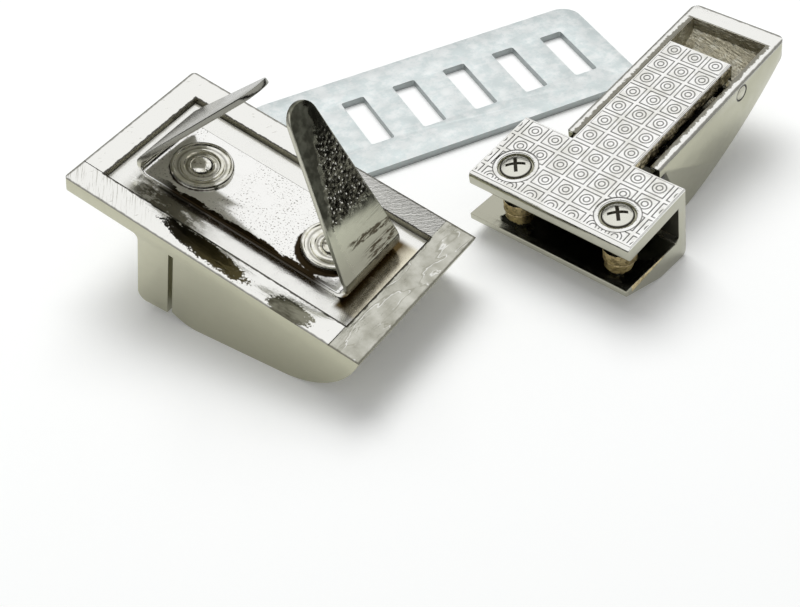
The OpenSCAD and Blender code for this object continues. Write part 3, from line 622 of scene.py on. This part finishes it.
def tee_relief():
    """Raised grid of square cells with rings on the back of the T, as a fine sheet with a skirt."""
    pitch = STEM_W / 3
    step = 0.085
    high, line, depth = 0.075, 0.058, 0.062
    border_at, rings_at = 0.41, (0.27, 0.13)
    collar, ridge = 2.75, 2.45

    def height(x, y):
        u = (x + 1.5 * pitch) % pitch - pitch / 2
        v = (y - BAR_W + 30 * pitch) % pitch - pitch / 2
        border = np.maximum(np.abs(u), np.abs(v))
        ring = np.hypot(u, v)
        cut = np.exp(-((border - border_at * pitch) / line) ** 2)
        for radius in rings_at:
            cut = np.maximum(cut, np.exp(-((ring - radius * pitch) / line) ** 2))
        out = np.minimum(BAR_L / 2 - np.abs(x), np.minimum(y - BAR_R, BAR_W - y))
        out = np.where(np.abs(x) < STEM_W / 2, np.minimum(np.maximum(out, STEM_W / 2 - np.abs(x)),
                                                          np.minimum(y - BAR_R, BAR_W + STEM_L - y)), out)
        cut = cut * np.clip((out - 0.2) / 0.15, 0, 1)
        from_screw = np.hypot(np.abs(x) - (BAR_L / 2 - SCREW_X), y - SCREW_Y)
        cut = cut * np.clip((from_screw - collar) / 0.1, 0, 1)
        cut = np.maximum(cut, np.exp(-((from_screw - collar) / line) ** 2))
        return high - depth * cut + 0.07 * np.exp(-((from_screw - ridge) / 0.14) ** 2)

    def grid(x0, x1, y0, y1):
        nx, ny = round((x1 - x0) / step), round((y1 - y0) / step)
        xs, ys = np.linspace(x0, x1, nx + 1), np.linspace(y0, y1, ny + 1)
        gx, gy = np.meshgrid(xs, ys)
        return np.column_stack([gx.ravel(), gy.ravel()]), nx, ny

    margin = 0.12
    points, faces = [], []
    count = 0
    bar = (margin - BAR_L / 2, BAR_L / 2 - margin, BAR_R, BAR_W - margin)
    stem = (margin - STEM_W / 2, STEM_W / 2 - margin, BAR_W - margin, BAR_W + STEM_L - margin)
    for x0, x1, y0, y1 in (bar, stem):
        flat, nx, ny = grid(x0, x1, y0, y1)
        ids = np.arange(len(flat)).reshape(ny + 1, nx + 1) + count
        quads = np.stack([ids[:-1, :-1], ids[:-1, 1:], ids[1:, 1:], ids[1:, :-1]], -1).reshape(-1, 4)
        points.append(flat)
        faces.append(quads)
        count += len(flat)
    flat = np.concatenate(points)
    quads = np.concatenate(faces)
    z = height(flat[:, 0], flat[:, 1])
    dish = DISH_R + 0.1
    for side in (-1, 1):
        centre = np.array([side * (BAR_L / 2 - SCREW_X), SCREW_Y])
        away = flat - centre
        r = np.hypot(*away.T)
        near = np.abs(r - dish) < 0.6 * step
        flat[near] = centre + away[near] / r[near, None] * dish
        middle = np.hypot(*(flat[quads].mean(1) - centre).T)
        quads = quads[middle > dish]
    mesh = bpy.data.meshes.new("tee_relief")
    world = np.array(TONGUE)
    local = np.column_stack([flat, z, np.ones(len(flat))])
    mesh.from_pydata((local @ world.T)[:, :3] * MM, [], quads.tolist())
    obj = add_object("tee_relief", mesh)
    made = bmesh.new()
    made.from_mesh(mesh)
    bmesh.ops.remove_doubles(made, verts=made.verts, dist=0.004 * MM)
    bmesh.ops.delete(made, geom=[v for v in made.verts if not v.link_faces], context="VERTS")
    rim = [e for e in made.edges if e.is_boundary]
    skirt = bmesh.ops.extrude_edge_only(made, edges=rim)["geom"]
    down = TONGUE.to_3x3() @ Vector((0, 0, -1))
    lower = [v for v in skirt if isinstance(v, bmesh.types.BMVert)]
    bmesh.ops.translate(made, verts=lower, vec=down * (high + 0.02) * MM)
    bmesh.ops.recalc_face_normals(made, faces=made.faces)
    made.to_mesh(mesh)
    made.free()
    mesh.shade_smooth()
    mesh.set_sharp_from_angle(angle=math.radians(45))
    mesh.materials.append(relief_metal())
    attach(obj, "lock_set")


def stem_flash(side):
    """Rough, uncleaned casting along one side of the stem, as a relief that stands out of it."""
    step, root = 0.09, -0.1
    # The lower edge stays clear of the pin
    length, depth = STEM_L - 0.5, TEE_T - 0.55
    ny, nz = round(length / step), round(depth / step)
    made = bmesh.new()
    rows = []
    for j in range(nz + 1):
        row = []
        for i in range(ny + 1):
            y, z = BAR_W + 0.1 + length * i / ny, -0.1 - depth * j / nz
            coarse = noise.noise(Vector((0.55 * y, 1.3 * z, 7.0 * side)))
            lump = coarse + 0.6 * noise.noise(Vector((1.7 * y, 2.6 * z, 3.0)))
            reach = root if i in (0, ny) or j in (0, nz) else 0.12 + 0.24 * max(lump, -0.4)
            row.append(made.verts.new(TONGUE @ Vector((side * (STEM_W / 2 + reach), y, z)) * MM))
        rows.append(row)
    for upper, lower in zip(rows, rows[1:]):
        for i in range(ny):
            made.faces.new((upper[i], upper[i + 1], lower[i + 1], lower[i]))
    bmesh.ops.recalc_face_normals(made, faces=made.faces)
    mesh = bpy.data.meshes.new("stem_flash")
    made.to_mesh(mesh)
    made.free()
    mesh.shade_smooth()
    mesh.materials.append(flash_metal())
    obj = add_object("stem_flash_" + ("left" if side < 0 else "right"), mesh)
    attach(obj, "lock_set")


def return_coil():
    """The spring as round wire, from the foot to the top of the return spring's piece: its top on the stem
    and its foot on the shell's seat.
    """
    to_unit = TONGUE.inverted()
    heights = [(to_unit @ (v.co / MM)).z for v in nodes["return_spring"].data.vertices]
    low, high = min(heights), max(heights)
    steps, sides, wire = 28 * SPRING_TURNS, 10, SPRING_WIRE / 2
    made = bmesh.new()
    rings = []
    for i in range(steps + 1):
        angle = math.tau * SPRING_TURNS * i / steps
        out = Vector((math.cos(angle), math.sin(angle), 0))
        height = low + wire + (high - low - 2 * wire) * i / steps
        middle = Vector((0, SPRING_Y, height)) + out * (SPRING_OD / 2 - wire)
        ring = []
        for k in range(sides):
            b = math.tau * k / sides
            skin = middle + wire * (out * math.cos(b) + Vector((0, 0, math.sin(b))))
            ring.append(made.verts.new(TONGUE @ skin * MM))
        rings.append(ring)
    for ring, after in zip(rings, rings[1:]):
        for k in range(sides):
            made.faces.new((ring[k], ring[(k + 1) % sides], after[(k + 1) % sides], after[k]))
    for end in (rings[0], rings[-1]):
        made.faces.new(end)
    bmesh.ops.recalc_face_normals(made, faces=made.faces)
    mesh = bpy.data.meshes.new("return_coil")
    made.to_mesh(mesh)
    made.free()
    mesh.shade_smooth()
    mesh.set_sharp_from_angle(angle=math.radians(50))
    mesh.materials.append(spring_metal())
    obj = add_object("return_coil", mesh)
    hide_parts("return_spring")
    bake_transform(obj)


finish_node("keeper_housing", keeper_metal(), edge=0.12)
finish_node("prong_strip", strip_metal(), edge=0.16)
finish_node("keeper_rivets", rivet_metal(), edge=0.0)
finish_node("backing_plate", galvanised(), edge=0.12)
finish_node("tongue_frame", tongue_metal(), edge=0.12)
finish_node("clamp_screws", screw_metal(), edge=0.0)
finish_node("release_shell", shell_metal(), edge=0.2)
finish_node("pivot_pin", pin_metal(), edge=0.15)
return_coil()
tee_relief()
stem_flash(-1)
stem_flash(1)


def floor():
    """A white floor that keeps the shadows."""
    mesh = bpy.data.meshes.new("floor")
    reach = 3.0
    corners = [(-reach, -reach, 0), (reach, -reach, 0), (reach, reach, 0), (-reach, reach, 0)]
    mesh.from_pydata(corners, [], [(0, 1, 2, 3)])
    obj = add_object("floor", mesh)
    material = bpy.data.materials.new("floor_white")
    material.use_nodes = True
    tree = material.node_tree
    shader = tree.nodes["Principled BSDF"]
    shader.inputs["Base Color"].default_value = (0.93, 0.94, 0.935, 1)
    shader.inputs["Roughness"].default_value = 0.9
    shader.inputs["Specular IOR Level"].default_value = 0.0
    shader.inputs["Emission Color"].default_value = (1, 1, 1, 1)
    coords = tree.nodes.new("ShaderNodeTexCoord")
    far = tree.nodes.new("ShaderNodeVectorMath")
    far.operation = "LENGTH"
    tree.links.new(coords.outputs["Object"], far.inputs[0])
    fade = tree.nodes.new("ShaderNodeMapRange")
    for name, value in (("From Min", 0.08), ("From Max", 0.9), ("To Min", 0.11), ("To Max", 0.75)):
        fade.inputs[name].default_value = value
    tree.links.new(far.outputs["Value"], fade.inputs["Value"])
    lift = tree.nodes.new("ShaderNodeMath")
    lift.operation = "MULTIPLY"
    tree.links.new(sees_background(tree), lift.inputs[0])
    tree.links.new(fade.outputs[0], lift.inputs[1])
    tree.links.new(lift.outputs[0], shader.inputs["Emission Strength"])
    mesh.materials.append(material)


# The photograph's camera: place and axes in the row frame, millimetres and pixels
CAMERA_AT = Vector((101.92, -115.32, 128.86))
LOOK = Vector((-0.5352, 0.5135, -0.6708))
RIGHT = Vector((0.7396, 0.6685, -0.0784))
UP = Vector((-0.4082, 0.538, 0.7375))
FOCAL_PX, CENTRE_PX, IMAGE_PX, SENSOR = 1559.8, (356.4, 253.15), (800, 607), 36.0
camera = bpy.data.cameras.new("camera")
camera.sensor_width = SENSOR
camera.sensor_fit = "HORIZONTAL"
camera.lens = FOCAL_PX / IMAGE_PX[0] * SENSOR
camera.shift_x = (IMAGE_PX[0] / 2 - CENTRE_PX[0]) / IMAGE_PX[0]
camera.shift_y = (CENTRE_PX[1] - IMAGE_PX[1] / 2) / IMAGE_PX[0]
camera.clip_start, camera.clip_end = 0.01, 20
eye = add_object("camera", camera)
eye.matrix_world = Matrix((RIGHT, UP, -LOOK)).transposed().to_4x4()
eye.location = CAMERA_AT * MM
bpy.context.scene.camera = eye


def lamp(name, at, aim, size, power):
    """A square soft lamp at a place, aimed at another, in millimetres and watts; metal doesn't show it."""
    data = bpy.data.lights.new(name, "AREA")
    data.shape = "SQUARE"
    data.size = size * MM
    data.energy = power
    obj = add_object(name, data)
    obj.location = Vector(at) * MM
    obj.rotation_euler = (Vector(aim) - Vector(at)).to_track_quat("-Z", "Y").to_euler()
    obj.visible_glossy = False


# The sky's strength as light; rays that show the background see 1
SKY = 0.37
lamp("softbox", at=(-235, 185, 600), aim=(0, 0, 0), size=460, power=3.55)


def card(name, points, faces):
    """A black card that only reflections see, for contrast in the bright metal; millimetres."""
    mesh = bpy.data.meshes.new(name)
    mesh.from_pydata([Vector(p) * MM for p in points], [], faces)
    obj = add_object(name, mesh)
    material = bpy.data.materials.new(name + "_black")
    material.use_nodes = True
    shader = material.node_tree.nodes["Principled BSDF"]
    shader.inputs["Base Color"].default_value = (0.012, 0.011, 0.008, 1)
    shader.inputs["Roughness"].default_value = 1.0
    shader.inputs["Specular IOR Level"].default_value = 0.0
    mesh.materials.append(material)
    obj.visible_camera = obj.visible_diffuse = obj.visible_shadow = False


def ring_card(radius, low, high, sides=48):
    """A dark wall round the scene, low behind it and high on the camera's side."""
    points, faces = [], []
    front = math.atan2(CAMERA_AT.y, CAMERA_AT.x)
    for i in range(sides):
        a = math.tau * i / sides
        top = low + (high - low) * max(0.0, math.cos(a - front)) ** 2
        points += [(radius * math.cos(a), radius * math.sin(a), z) for z in (0, top)]
        j = (i + 1) % sides
        faces.append((2 * i, 2 * j, 2 * j + 1, 2 * i + 1))
    card("ring_card", points, faces)


ring_card(radius=330, low=150, high=165)
card("right_card", [(215, -40, 0), (35, 200, 0), (35, 200, 90), (215, -40, 90)], [(0, 1, 2, 3)])


def sees_background(tree):
    """1 for the rays that show the background: camera, glossy and transmission rays."""
    path = tree.nodes.new("ShaderNodeLightPath")
    out = path.outputs["Is Camera Ray"]
    for kind in ("Is Glossy Ray", "Is Transmission Ray"):
        either = tree.nodes.new("ShaderNodeMath")
        either.operation = "MAXIMUM"
        tree.links.new(out, either.inputs[0])
        tree.links.new(path.outputs[kind], either.inputs[1])
        out = either.outputs[0]
    return out


def studio():
    """White to the camera and in reflections, and a weaker sky as light."""
    world = bpy.data.worlds.new("studio")
    bpy.context.scene.world = world
    world.use_nodes = True
    tree = world.node_tree
    shader = tree.nodes["Background"]
    shader.inputs["Color"].default_value = (1, 1, 1, 1)
    level = tree.nodes.new("ShaderNodeMapRange")
    level.inputs["To Min"].default_value, level.inputs["To Max"].default_value = SKY, 1.0
    tree.links.new(sees_background(tree), level.inputs["Value"])
    tree.links.new(level.outputs[0], shader.inputs["Strength"])


floor()
studio()
bpy.context.scene.view_settings.view_transform = "Standard"
